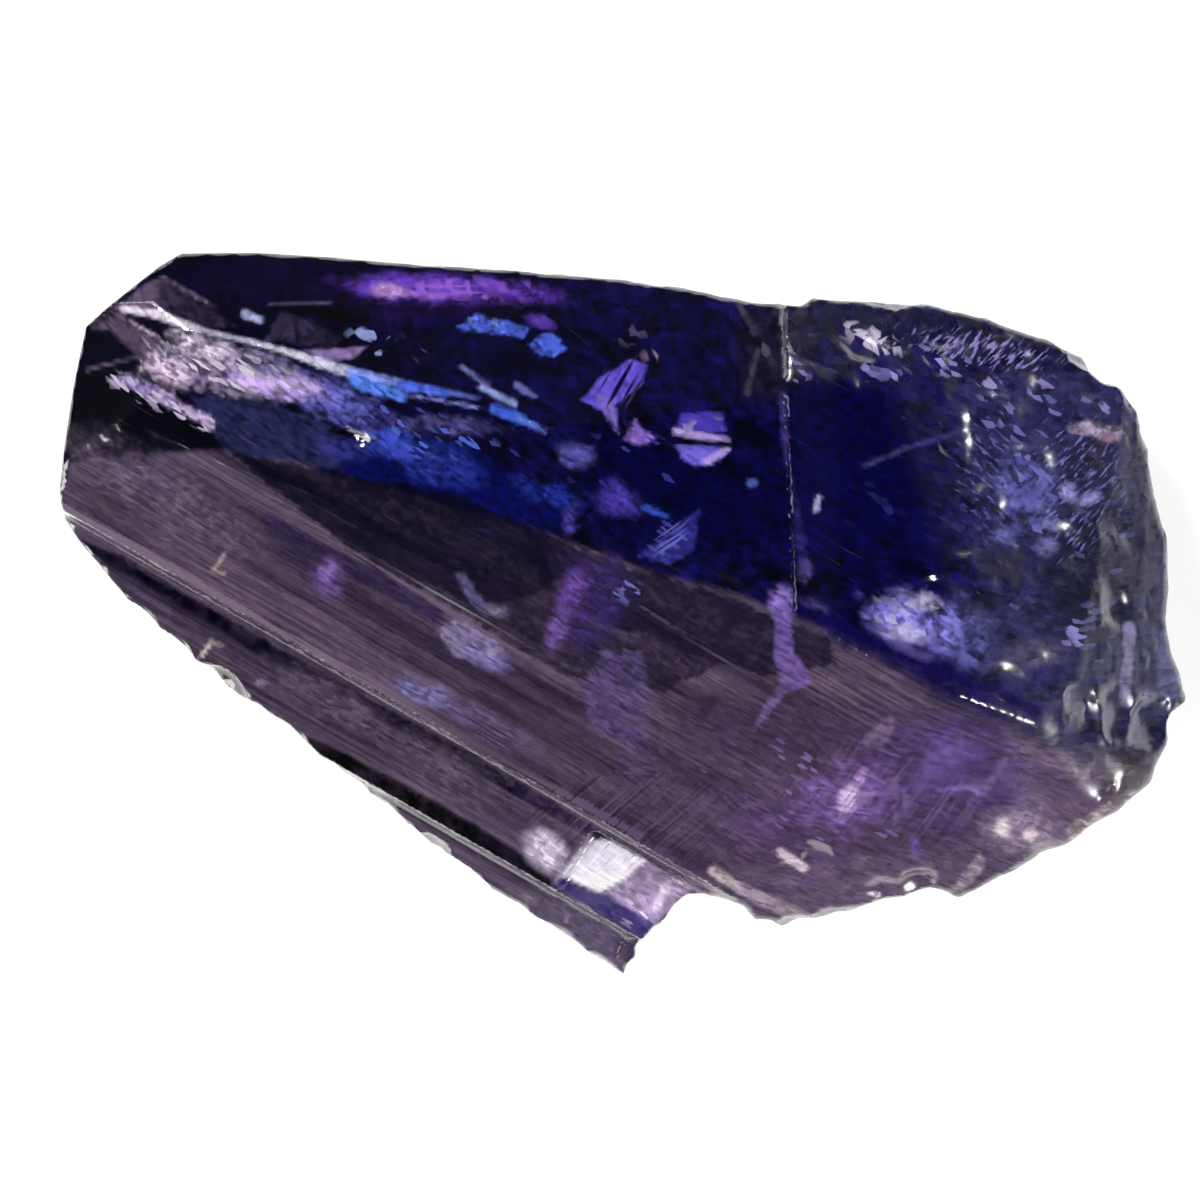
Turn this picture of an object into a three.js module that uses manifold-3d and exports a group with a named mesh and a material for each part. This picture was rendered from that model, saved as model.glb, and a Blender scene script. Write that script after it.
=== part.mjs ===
// A rough tanzanite: one flattened, striated zoisite crystal, clean at one end and broken at the other.
// It lies on its cleavage face. Millimetres, +Z up; +X runs to the broken end, +Y to the steep long side.
// It grew as one piece, so it is one solid: a stepped prism, trimmed to its outline and cut by flat faces,
// with shell-shaped chips where it broke.
import * as THREE from "three";
import { mergeVertices } from "three/addons/utils/BufferGeometryUtils.js";
import Module from "manifold-3d";

const wasm = await Module();
wasm.setup();

// ---- Driving dimensions, in millimetres and degrees ----

const REACH = 40; // longer than the stone, for everything that is trimmed to it
const GRAIN_HEADING = -30; // the way the prism and its striations run, seen from above
const SEED = 4107;

// Corners of the outline seen from above, anticlockwise from the tip of the striated side.
// A stretch is ragged where the stone broke, with teeth of at most the given depth, and 0 where it grew.
const OUTLINE = [
  {
    name: "broken underside edge",
    ragged: 0.14,
    corners: [
      [-0.01, -9.63], [0.33, -9.15], [0.55, -8.61], [1.08, -8.13], [1.72, -7.44], [2.84, -7.6],
      [3.51, -8.11], [4.25, -8.32], [6.04, -7.89], [7.51, -7.49], [8.17, -7.23], [8.92, -7.55],
      [10.57, -6.69], [11.69, -6.16], [13.24, -5.15], [14.04, -4.45], [14.49, -3.39],
    ],
  },
  {
    name: "broken end",
    ragged: 0.08,
    corners: [
      [14.55, -2.62], [15.0, -2.29], [14.81, -1.52], [14.49, -0.51], [14.52, 0.67], [14.47, 2.08],
      [14.12, 3.28], [13.96, 4.35], [13.67, 5.41], [13.19, 6.05], [12.39, 6.45],
    ],
  },
  {
    name: "steep long side",
    ragged: 0.05,
    corners: [
      [12.25, 6.85], [11.24, 7.33], [9.64, 7.89], [8.07, 8.27], [6.63, 8.33], [5.03, 8.43],
      [4.76, 8.2], [3.05, 8.4], [1.77, 8.67], [-0.09, 8.93],
    ],
  },
  {
    name: "grown end",
    ragged: 0,
    corners: [
      [-2.76, 9.15], [-5.43, 9.31], [-7.83, 9.52], [-9.83, 9.63], [-11.75, 9.6], [-12.28, 9.28],
      [-13.8, 8.08], [-14.28, 7.65], [-14.65, 5.87], [-14.87, 4.4], [-15.0, 3.2], [-14.87, 2.53],
    ],
  },
  {
    name: "striated edge",
    ragged: 0.1,
    corners: [
      [-14.44, 1.87], [-13.21, 0.4], [-12.36, -0.35], [-11.4, -1.2], [-10.97, -1.38], [-10.62, -1.9],
      [-10.2, -2.19], [-9.37, -2.67], [-8.09, -3.76], [-6.76, -4.75], [-5.16, -6.08], [-3.56, -7.28],
      [-2.36, -8.08], [-0.89, -9.07],
    ],
  },
];
const RAGGED_STEP = 0.55; // length between two teeth of a ragged stretch

// The prism's upper side, across the grain from its thin edge to its crest: growth strips, each
// rising evenly over its width, with the number of fine ledges on it.
const THIN_EDGE = { across: -8.9, height: 1.45 };
const STRIPS = [
  { name: "outer lip", width: 1.54, rise: 1.0, ledges: 2 },
  { name: "outer riser", width: 0.08, rise: 0.72, ledges: 0 },
  { name: "lower tread", width: 2.15, rise: 0.62, ledges: 3 },
  { name: "inner riser", width: 0.08, rise: 0.72, ledges: 0 },
  { name: "shoulder", width: 0.35, rise: 0.06, ledges: 0 },
  { name: "broad face", width: 2.6, rise: 1.1, ledges: 6 },
  { name: "fine riser", width: 0.25, rise: 0.24, ledges: 0 },
  { name: "upper face", width: 5.4, rise: 2.35, ledges: 11 },
];
const LEDGE_DEPTH = 0.055;
const LEDGE_SLOPE = 0.12; // width of a ledge's own steep face, over the distance between two ledges
const LEDGE_WANDER = 0.3; // how far a ledge may lie from its even place, over that distance
const CREST = { height: 9.2, run: 1.6 }; // top of the block before its faces are cut, and the rise to it
const PRISM_BASE = { flatFrom: -5.6, edge: 0.85 }; // the underside rises from there to the thin edge

// Flat faces: each cuts off what lies above a plane through a point, which falls towards a heading.
// With walls, it takes away only what also lies beyond each upright wall, on the side it heads for.
// The crack's two walls lap over a little, so that no thin skin is left between their cuts.
const CRACK = { at: [4.35, 4.0], heading: 2 };
const BEFORE_CRACK = { at: [4.42, 4.0], heading: 182 };
const UPPER_FACES = [
  { name: "glassy band", at: [-12.49, 4.24, 5.6], heading: -132.4, dip: 15 },
  { name: "central face", at: [4.35, 0.4, 7.75], heading: 54.7, dip: 18.6 },
  { name: "steep side", at: [-13.24, 8.19, 6.24], heading: 82, dip: 41.2, walls: [BEFORE_CRACK] },
  { name: "grey corner facet", at: [-13.24, 8.19, 6.02], heading: 88, dip: 35.6, walls: [BEFORE_CRACK] },
  { name: "grown end", at: [-13.4, 5.6, 5.55], heading: 176, dip: 27 },
  { name: "corner bevel", at: [-12.85, 8.1, 5.85], heading: 128, dip: 40 },
  { name: "broken face", at: [4.4, 0.4, 7.5], heading: 86, dip: 15.4, walls: [CRACK] },
  { name: "broken shoulder", at: [8.0, 5.9, 5.9], heading: 78, dip: 37, walls: [CRACK] },
  { name: "blunt broken end", at: [8.97, 1.47, 6.95], heading: 21, dip: 23.5 },
  { name: "broken end rim", at: [13.3, 1.2, 4.8], heading: 4, dip: 42 },
  { name: "lower broken slope", at: [10.4, -5.0, 6.3], heading: -60, dip: 41 },
  { name: "short broken slope", at: [4.0, -6.6, 4.7], heading: -84, dip: 36 },
  { name: "far corner", at: [13.0, -3.2, 5.6], heading: -25, dip: 42 },
  {
    name: "cleaved tip",
    at: [-0.2, -7.3, 3.3],
    heading: -150,
    dip: 9,
    walls: [
      { at: [-1.55, -7.0], heading: GRAIN_HEADING },
      { at: [-0.1, -6.1], heading: GRAIN_HEADING - 90 },
    ],
  },
];

// Underside faces: each cuts off what lies below a plane that rises towards a heading.
const LOWER_FACES = [
  { name: "long side, under", at: [0, 5.9, 0], heading: 86, dip: 36 },
  { name: "grown end, under", at: [-11.6, 4, 0], heading: 174, dip: 40 },
  { name: "grown corner, under", at: [-10.9, 6.4, 0], heading: 128, dip: 38 },
  { name: "broken end, under", at: [11.0, 1, 0], heading: 6, dip: 37 },
  { name: "far corner, under", at: [10.6, -2.6, 0], heading: -32, dip: 34 },
  { name: "lower slope, under", at: [7.6, -3.9, 0], heading: -66, dip: 31 },
  { name: "short slope, under", at: [4.8, -5.4, 0], heading: -75, dip: 24 },
];

// Fields of chips: angular flakes broken out over an ellipse seen from above, with those half axes.
const CHIP_FIELDS = [
  { name: "frosted end", at: [10.8, 2.0], over: [3.4, 4.4], count: 36, size: [0.9, 1.9], sink: [0.08, 0.2] },
  { name: "shoulder", at: [9.2, 6.2], over: [3.9, 1.4], count: 18, size: [0.7, 1.5], sink: [0.08, 0.2] },
  { name: "far corner", at: [12.4, -3.2], over: [1.9, 1.6], count: 12, size: [0.8, 1.5], sink: [0.14, 0.34] },
  { name: "lower slope", at: [10.0, -5.6], over: [2.9, 1.2], count: 12, size: [0.7, 1.5], sink: [0.1, 0.28] },
  { name: "short slope", at: [5.0, -7.0], over: [2.4, 0.7], count: 7, size: [0.7, 1.3], sink: [0.08, 0.2] },
];
const CHIP_NARROWNESS = [0.45, 0.85]; // a chip's width over its length
const CHIP_FLATNESS = 0.38; // a chip's depth over its length

// Flakes off the upright walls of the broken edges: one to every stretch of that length. Each is centred
// below the given share of the top edge's height, which is measured a little way in from the outline.
const WALL_CHIP = {
  every: 1.15,
  radius: [0.6, 1.25],
  narrowness: [0.6, 1.1],
  sink: [0.06, 0.16],
  height: [1.4, 4.2],
  lean: [-0.3, 0.3],
  highest: 0.8,
  measuredAt: 0.96,
};

// Single scoops that stand out: where, how wide each way, how far they sink and how they turn.
const SCOOPS = [
  { name: "notch in the striated edge", at: [-10.75, -1.95], size: [0.85, 0.5, 0.8], sink: 0.8, turn: -38 },
  { name: "nick by the crest", at: [-7.2, 4.75], size: [0.62, 0.2, 0.25], sink: 0.16, turn: -22 },
  { name: "bite at the broken corner", at: [14.85, -2.9], size: [0.42, 0.34, 2.2], sink: 2.1, turn: 20 },
  { name: "dent above the tip", at: [7.85, -7.1], size: [0.7, 0.5, 0.6], sink: 0.25, turn: 10 },
];

const CLEAR_VIOLET = { color: 0x3a2f6e, roughness: 0.12, metalness: 0, transparent: true, opacity: 0.85 };

// ---- Helpers ----

function seededRandom(seed) {
  let state = seed;
  return () => {
    state = (state + 0x6d2b79f5) | 0;
    let t = Math.imul(state ^ (state >>> 15), 1 | state);
    t = (t + Math.imul(t ^ (t >>> 7), 61 | t)) ^ t;
    return ((t ^ (t >>> 14)) >>> 0) / 2 ** 32;
  };
}
const random = seededRandom(SEED);
const between = ([low, high]) => low + (high - low) * random();

const towards = (heading) => {
  const angle = THREE.MathUtils.degToRad(heading);
  return new THREE.Vector2(Math.cos(angle), Math.sin(angle));
};
const steepness = (dip) => Math.tan(THREE.MathUtils.degToRad(dip));

function toSolid(geometry) {
  const bare = geometry.clone();
  bare.deleteAttribute("normal");
  bare.deleteAttribute("uv");
  const merged = mergeVertices(bare, 1e-4);
  return new wasm.Manifold(
    new wasm.Mesh({
      numProp: 3,
      vertProperties: new Float32Array(merged.attributes.position.array),
      triVerts: new Uint32Array(merged.index.array),
    }),
  );
}

function toGeometry(solid) {
  const mesh = solid.getMesh();
  const indexed = new THREE.BufferGeometry();
  indexed.setAttribute("position", new THREE.BufferAttribute(new Float32Array(mesh.vertProperties), 3));
  indexed.setIndex(new THREE.BufferAttribute(new Uint32Array(mesh.triVerts), 1));
  return indexed;
}

// A block whose one side is the plane through a point, and which reaches out along the normal.
function blockBeyond(point, normal) {
  const block = new THREE.BoxGeometry(2 * REACH, 2 * REACH, REACH).translate(0, 0, REACH / 2);
  const turn = new THREE.Quaternion().setFromUnitVectors(new THREE.Vector3(0, 0, 1), normal);
  block.applyQuaternion(turn).translate(point.x, point.y, point.z);
  return toSolid(block);
}

const upwardNormal = ({ heading, dip }) => {
  const fall = towards(heading).multiplyScalar(steepness(dip));
  return new THREE.Vector3(fall.x, fall.y, 1).normalize();
};
const above = (face) => blockBeyond(new THREE.Vector3(...face.at), upwardNormal(face));

function below(face) {
  const rise = towards(face.heading).multiplyScalar(steepness(face.dip));
  return blockBeyond(new THREE.Vector3(...face.at), new THREE.Vector3(rise.x, rise.y, -1).normalize());
}

function past(wall) {
  const way = towards(wall.heading);
  return blockBeyond(new THREE.Vector3(...wall.at, 0), new THREE.Vector3(way.x, way.y, 0));
}

const planeHeight = (face, x, y) => {
  const way = towards(face.heading);
  const run = (x - face.at[0]) * way.x + (y - face.at[1]) * way.y;
  return face.at[2] - run * steepness(face.dip);
};

// ---- The prism: its section across the grain, drawn out along the grain ----

function stripEdges() {
  const edges = [{ across: THIN_EDGE.across, height: THIN_EDGE.height }];
  for (const strip of STRIPS) {
    const last = edges.at(-1);
    edges.push({ across: last.across + strip.width, height: last.height + strip.rise });
  }
  return edges;
}

function prismSection() {
  const points = [];
  const edges = stripEdges();
  STRIPS.forEach((strip, i) => {
    const start = edges[i];
    points.push([start.across, start.height]);
    const ledgeWidth = strip.width / (strip.ledges + 1);
    for (let k = 1; k <= strip.ledges; k++) {
      const share = (k + LEDGE_WANDER * (random() - 0.5)) / (strip.ledges + 1);
      const across = start.across + strip.width * share;
      const height = start.height + strip.rise * share;
      const drop = LEDGE_DEPTH * (0.5 + random());
      points.push([across - LEDGE_SLOPE * ledgeWidth, height - drop / 2], [across, height + drop / 2]);
    }
  });
  const last = edges.at(-1);
  points.push([last.across, last.height], [last.across + CREST.run, CREST.height]);
  points.push([REACH / 2, CREST.height], [REACH / 2, 0]);
  points.push([PRISM_BASE.flatFrom, 0], [THIN_EDGE.across, PRISM_BASE.edge]);
  return points;
}

function stripedPrism() {
  const corners = prismSection().map(([across, height]) => new THREE.Vector2(across, height));
  const section = new THREE.Shape(corners);
  const prism = new THREE.ExtrudeGeometry(section, { depth: 2 * REACH, bevelEnabled: false });
  prism.translate(0, 0, -REACH);
  const along = towards(GRAIN_HEADING);
  const across = new THREE.Vector3(-along.y, along.x, 0);
  const up = new THREE.Vector3(0, 0, 1);
  prism.applyMatrix4(new THREE.Matrix4().makeBasis(across, up, new THREE.Vector3(along.x, along.y, 0)));
  return toSolid(prism);
}

function prismHeight(x, y) {
  const along = towards(GRAIN_HEADING);
  const across = -along.y * x + along.x * y;
  const edges = stripEdges();
  const i = edges.findIndex((edge) => edge.across > across);
  if (i < 0) return CREST.height;
  if (i === 0) return edges[0].height;
  const share = (across - edges[i - 1].across) / (edges[i].across - edges[i - 1].across);
  return edges[i - 1].height + share * (edges[i].height - edges[i - 1].height);
}

// ---- The outline: straight where it grew, toothed where it broke ----

function outlineCorners() {
  const corners = OUTLINE.flatMap(({ corners: places, ragged }) =>
    places.map(([x, y]) => ({ at: new THREE.Vector2(x, y), ragged })),
  );
  return corners.flatMap((corner, i) => {
    const end = corners[(i + 1) % corners.length].at;
    const outwards = new THREE.Vector2(end.y - corner.at.y, corner.at.x - end.x).normalize();
    const teeth = corner.ragged ? Math.floor(corner.at.distanceTo(end) / RAGGED_STEP) : 0;
    const onTheWay = Array.from({ length: teeth }, (_, k) => {
      const at = corner.at.clone().lerp(end, (k + 1) / (teeth + 1));
      return { at: at.addScaledVector(outwards, -corner.ragged * random()), ragged: corner.ragged };
    });
    return [corner, ...onTheWay];
  });
}

function outlineBlock(corners) {
  const outline = new THREE.Shape(corners.map((corner) => corner.at));
  const block = new THREE.ExtrudeGeometry(outline, { depth: REACH, bevelEnabled: false });
  return toSolid(block.translate(0, 0, -REACH / 4));
}

// ---- Chips ----

const isBeyond = (wall, x, y) => {
  const way = towards(wall.heading);
  return (x - wall.at[0]) * way.x + (y - wall.at[1]) * way.y > 0;
};

function surfaceHeight(x, y) {
  const faces = UPPER_FACES.filter(({ walls = [] }) => walls.every((wall) => isBeyond(wall, x, y)));
  return Math.min(prismHeight(x, y), ...faces.map((face) => planeHeight(face, x, y)));
}

function surfaceNormal(x, y) {
  const step = 0.2;
  const riseX = surfaceHeight(x + step, y) - surfaceHeight(x - step, y);
  const riseY = surfaceHeight(x, y + step) - surfaceHeight(x, y - step);
  return new THREE.Vector3(-riseX, -riseY, 2 * step).normalize();
}

// A cutter sunk below a surface along its normal: smooth for a shell-shaped scoop, angular for a flake.
function flakeCutter({ point, normal, size, sink, turn, smooth }) {
  const cutter = new THREE.IcosahedronGeometry(1, smooth ? 2 : 0).scale(...size);
  cutter.rotateZ(THREE.MathUtils.degToRad(turn));
  cutter.applyQuaternion(new THREE.Quaternion().setFromUnitVectors(new THREE.Vector3(0, 0, 1), normal));
  const centre = point.clone().addScaledVector(normal, size[2] - sink);
  return toSolid(cutter.translate(centre.x, centre.y, centre.z));
}

function flakeOnTop({ at, size, sink, turn, smooth = true }) {
  const [x, y] = at;
  const point = new THREE.Vector3(x, y, surfaceHeight(x, y));
  return flakeCutter({ point, normal: surfaceNormal(x, y), size, sink, turn, smooth });
}

function chipsIn(field) {
  return Array.from({ length: field.count }, () => {
    const angle = 2 * Math.PI * random();
    const out = Math.sqrt(random());
    const radius = between(field.size);
    return flakeOnTop({
      at: [
        field.at[0] + field.over[0] * out * Math.cos(angle),
        field.at[1] + field.over[1] * out * Math.sin(angle),
      ],
      size: [radius, radius * between(CHIP_NARROWNESS), radius * CHIP_FLATNESS],
      sink: between(field.sink),
      turn: 180 * random(),
      smooth: false,
    });
  });
}

function wallChips(corners) {
  const chips = [];
  let walked = 0;
  corners.forEach((corner, i) => {
    const next = corners[(i + 1) % corners.length];
    walked += corner.at.distanceTo(next.at);
    if (!corner.ragged || walked < WALL_CHIP.every) return;
    walked = 0;
    const lean = between(WALL_CHIP.lean);
    const outwards = new THREE.Vector3(next.at.y - corner.at.y, corner.at.x - next.at.x, lean).normalize();
    const inner = corner.at.clone().multiplyScalar(WALL_CHIP.measuredAt);
    const height = Math.min(between(WALL_CHIP.height), WALL_CHIP.highest * surfaceHeight(inner.x, inner.y));
    const radius = between(WALL_CHIP.radius);
    chips.push(
      flakeCutter({
        point: new THREE.Vector3(corner.at.x, corner.at.y, height),
        normal: outwards,
        size: [radius, radius * between(WALL_CHIP.narrowness), radius * CHIP_FLATNESS],
        sink: between(WALL_CHIP.sink),
        turn: 180 * random(),
        smooth: false,
      }),
    );
  });
  return chips;
}

// ---- The crystal ----

function crystalSolid() {
  const corners = outlineCorners();
  let stone = stripedPrism().intersect(outlineBlock(corners));
  for (const face of UPPER_FACES) {
    const walls = face.walls ?? [];
    stone = stone.subtract(walls.reduce((cut, wall) => cut.intersect(past(wall)), above(face)));
  }
  for (const face of LOWER_FACES) stone = stone.subtract(below(face));
  const flakes = [...CHIP_FIELDS.flatMap(chipsIn), ...SCOOPS.map(flakeOnTop), ...wallChips(corners)];
  for (const flake of flakes) stone = stone.subtract(flake);
  return stone;
}

function crystal() {
  const geometry = toGeometry(crystalSolid()).toNonIndexed();
  geometry.computeBoundingBox();
  const middle = geometry.boundingBox.getCenter(new THREE.Vector3());
  geometry.translate(-middle.x, -middle.y, -geometry.boundingBox.min.z);
  geometry.computeVertexNormals();
  const mesh = new THREE.Mesh(geometry, new THREE.MeshStandardMaterial(CLEAR_VIOLET));
  mesh.name = "tanzanite_crystal";
  return mesh;
}

const stone = new THREE.Group();
stone.add(crystal());

export default stone;
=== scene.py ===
# %% [markdown]
# A rough tanzanite: one flattened zoisite crystal, glassy where it grew and frosted where it broke.
# The frame comes first. It holds the crystal's solid at its real size, and everything made here is fitted
# to it, in metres, with the underside at height 0.

# %% The frame and a few measures
import math
from collections import namedtuple
from functools import reduce

import bmesh
import bpy
import numpy as np
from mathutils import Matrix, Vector


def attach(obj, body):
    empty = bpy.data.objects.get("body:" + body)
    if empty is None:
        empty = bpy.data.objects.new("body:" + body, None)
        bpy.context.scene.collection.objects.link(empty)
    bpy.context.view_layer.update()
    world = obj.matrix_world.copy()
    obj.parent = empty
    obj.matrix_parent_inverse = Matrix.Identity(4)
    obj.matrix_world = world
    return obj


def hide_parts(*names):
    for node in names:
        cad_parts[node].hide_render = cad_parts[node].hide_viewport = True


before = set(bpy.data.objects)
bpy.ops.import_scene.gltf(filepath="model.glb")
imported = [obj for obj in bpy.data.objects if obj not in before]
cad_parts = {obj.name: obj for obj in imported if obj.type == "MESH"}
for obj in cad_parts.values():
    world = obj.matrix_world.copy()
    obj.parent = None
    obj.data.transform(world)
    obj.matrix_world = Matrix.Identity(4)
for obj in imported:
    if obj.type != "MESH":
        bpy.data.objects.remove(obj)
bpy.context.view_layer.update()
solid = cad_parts["tanzanite_crystal"]
scene = bpy.context.scene
MM = 0.001
GRAIN = -30  # the heading of the grain in degrees: it runs down to the right, seen from above


def put_in_scene(name, data):
    made = bpy.data.objects.new(name, data)
    scene.collection.objects.link(made)
    return made


# %% [markdown]
# The stone is looked at from straight above through a long lens, so that its outline keeps its true shape.
# An orthographic camera would do as well, but a real lens keeps the side views natural.

# %% The camera
LENS_DISTANCE = 400 * MM
FRAME_WIDTH = 32 * MM
LOOKED_AT = Vector((-0.627, 0.4, 3.0)) * MM
SENSOR_MM = 36

lens = bpy.data.cameras.new("camera")
lens.sensor_width = SENSOR_MM
lens.lens = SENSOR_MM * LENS_DISTANCE / FRAME_WIDTH
lens.clip_start = 10 * MM
camera = put_in_scene("camera", lens)
camera.location = LOOKED_AT + Vector((0, 0, LENS_DISTANCE))
scene.camera = camera
print("lens, mm:", round(lens.lens))

# %% [markdown]
# A clear stone shows its surroundings, so the light matters as much as the finish. Two soft lights from
# higher up and two from lower down brighten the pale floor, which then shines through the stone. They stand
# where no large face mirrors them into the lens. The room around is dim and keeps the dark faces dark, and
# only the backdrop that the camera itself sees is pale.

# %% The floor
FLOOR_SIZE = 600 * MM
FLOOR_DROP = 0.02 * MM  # keeps the floor from sharing a plane with the underside


def floor_finish():
    finish = bpy.data.materials.new("pale floor")
    finish.use_nodes = True
    shader = finish.node_tree.nodes["Principled BSDF"]
    shader.inputs["Base Color"].default_value = (0.9, 0.9, 0.9, 1)
    shader.inputs["Roughness"].default_value = 0.9
    return finish


def floor_mesh():
    half = FLOOR_SIZE / 2
    corners = [(x * half, y * half, 0) for x, y in ((-1, -1), (1, -1), (1, 1), (-1, 1))]
    mesh = bpy.data.meshes.new("floor")
    mesh.from_pydata(corners, [], [(0, 1, 2, 3)])
    mesh.materials.append(floor_finish())
    return mesh


floor = put_in_scene("floor", floor_mesh())
floor.location.z = -FLOOR_DROP
print("floor, m:", FLOOR_SIZE)

# %% The lights and the room
LIGHTS = [  # name, heading and elevation in degrees, distance and size in metres, power in watts, colour
    ("overhead light", -34, 46, 0.6, 0.24, 5.0, (1.0, 0.98, 0.96)),
    ("overhead light behind", 139, 53, 0.6, 0.22, 5.4, (1.0, 0.98, 0.96)),
    ("light from the left", -152, 20, 0.5, 0.34, 3.4, (1.0, 0.97, 0.93)),
    ("light from the back", 134, 36, 0.5, 0.25, 1.0, (1.0, 0.97, 0.95)),
]
DIM_ROOM = (0.02, 0.02, 0.03, 1)  # what the stone reflects
BACKDROP = (0.93, 0.93, 0.94, 1)  # what the camera sees


def soft_box(name, heading, elevation, distance, size, power, colour):
    """A square soft light that faces the stone, seen from it at that heading and elevation."""
    light = bpy.data.lights.new(name, "AREA")
    light.shape = "SQUARE"
    light.size = size
    light.energy = power
    light.color = colour
    around, up = math.radians(heading), math.radians(elevation)
    away = Vector((math.cos(around) * math.cos(up), math.sin(around) * math.cos(up), math.sin(up)))
    made = put_in_scene(name, light)
    made.location = away * distance
    made.rotation_euler = (-away).to_track_quat("-Z", "Y").to_euler()


def add_node(tree, kind, links_in=None, **settings):
    """Adds a node. links_in gives its inputs, by name or number: a socket is linked and a value is set."""
    node = tree.nodes.new(kind)
    for name, value in settings.items():
        setattr(node, name, value)
    for key, value in (links_in or {}).items():
        if isinstance(value, bpy.types.NodeSocket):
            tree.links.new(value, node.inputs[key])
        else:
            node.inputs[key].default_value = value
    return node


def mixed(tree, mask, below, above):
    """The colour below where the mask is 0, and the one above where it is 1."""
    return add_node(tree, "ShaderNodeMix", {0: mask, 6: below, 7: above}, data_type="RGBA").outputs[2]


for light in LIGHTS:
    soft_box(*light)
room = bpy.data.worlds.new("room")
scene.world = room
room.use_nodes = True
seen = add_node(room.node_tree, "ShaderNodeLightPath").outputs["Is Camera Ray"]
tone = mixed(room.node_tree, seen, DIM_ROOM, BACKDROP)
room.node_tree.links.new(tone, room.node_tree.nodes["Background"].inputs["Color"])
scene.view_settings.view_transform = "Standard"
print("lights:", [name for name, *_ in LIGHTS])

# %% [markdown]
# The crystal's surface is made on a fine, even skin. The solid is made of long, thin triangles, which bend
# badly, so a merged copy is wrapped in small, even squares first. A voxel wrap also closes every hairline.
# It leaves tiny stairs on slanting arrises, which a light smoothing turns into even, slightly worn edges.
# The chips at the broken end are worn more, and those on its lower slope the most, so these are smoothed
# again.

# %% An even skin over the solid
SKIN_GRAIN = 0.088 * MM
MERGED_WITHIN = 0.001 * MM


def merged_copy(source):
    mesh = source.data.copy()
    work = bmesh.new()
    work.from_mesh(mesh)
    bmesh.ops.remove_doubles(work, verts=work.verts, dist=MERGED_WITHIN)
    work.to_mesh(mesh)
    work.free()
    return mesh


def make_plain(piece):
    """Bakes the piece's modifiers into a plain mesh."""
    plain = bpy.data.meshes.new_from_object(piece.evaluated_get(bpy.context.evaluated_depsgraph_get()))
    piece.modifiers.clear()
    piece.data = plain


crystal = put_in_scene("crystal", merged_copy(solid))
wrap = crystal.modifiers.new("even skin", "REMESH")
wrap.mode = "VOXEL"
wrap.voxel_size = SKIN_GRAIN
make_plain(crystal)
print("faces of the even skin:", len(crystal.data.polygons))

# %% Wear on the arrises
FAR = 99  # beyond the stone on every side
CHIPPED = [(9.2, FAR, -FAR, FAR), (2.5, FAR, -FAR, -5.2)]  # west, east, south and north sides, in mm
LEFT_ARRIS = (-FAR, -12.8, 3.6, 5.7)
WORN_SLOPE = (6, FAR, -6.4, -3.4)
SLOPE_END = 17.5  # it ends at a slanted line, where east less north is this
WORN_CHIP = (10.9, 12.2, -3.8, -2.3)
CRISP_AT, CRISP_FALL = (8.8, -2.1), 0.48  # the arris below the broken end, and its fall to the east
CRISP_WIDTH, CRISP_END = 0.5, 11  # it stays crisp that far to each side, up to that far east
LIGHT_WEAR, CHIP_WEAR, SLOPE_WEAR = 2, 8, 240  # rounds of smoothing


def points():
    """The points of the skin, in millimetres."""
    flat = np.empty(len(crystal.data.vertices) * 3, np.float32)
    crystal.data.vertices.foreach_get("co", flat)
    return flat.reshape(-1, 3) / MM


def work_on(kind, where, **settings):
    """Runs a modifier around the marked points of the skin, and keeps the result."""
    group = crystal.vertex_groups.new(name="worked on")
    group.add(np.flatnonzero(where).tolist(), 1.0, "REPLACE")
    work = crystal.modifiers.new("work", kind)
    work.vertex_group = group.name
    for name, value in settings.items():
        setattr(work, name, value)
    make_plain(crystal)
    crystal.vertex_groups.clear()


def within(*boxes):
    """The points inside any of the boxes, seen from above."""
    inside = np.zeros(len(east), bool)
    for left, right, low, high in boxes:
        inside |= (east > left) & (east < right) & (north > low) & (north < high)
    return inside


east, north, _ = points().T
north_of_arris = north - CRISP_AT[1] + (east - CRISP_AT[0]) * CRISP_FALL
off_arris = (abs(north_of_arris) > CRISP_WIDTH) | (east > CRISP_END)
chips = (within(*CHIPPED) & off_arris) | within(LEFT_ARRIS)
slope = (within(WORN_SLOPE) & (east - north < SLOPE_END)) | within(WORN_CHIP)
for rounds, worn in ((LIGHT_WEAR, east < FAR), (CHIP_WEAR, chips), (SLOPE_WEAR, slope)):
    work_on("SMOOTH", worn, factor=0.5, iterations=rounds)
    print("points smoothed", rounds, "times:", np.count_nonzero(worn))

# %% [markdown]
# Two reliefs follow the surface. Where the crystal grew, fine lines run along the grain, as steps of growth.
# Where it broke, it is hackly: small flat facets, each tilted its own way, with sharp arrises between. They
# could be carved one by one, but a rule places thousands at once, so Geometry Nodes push the skin in and
# out: stretched noise for the lines, and tilted cells for the break. The same tree writes the stone's random
# fields onto the skin, for the colours later: how they wander, gather in patches and are drawn out along
# the grain, and where the stone is broken.

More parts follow.
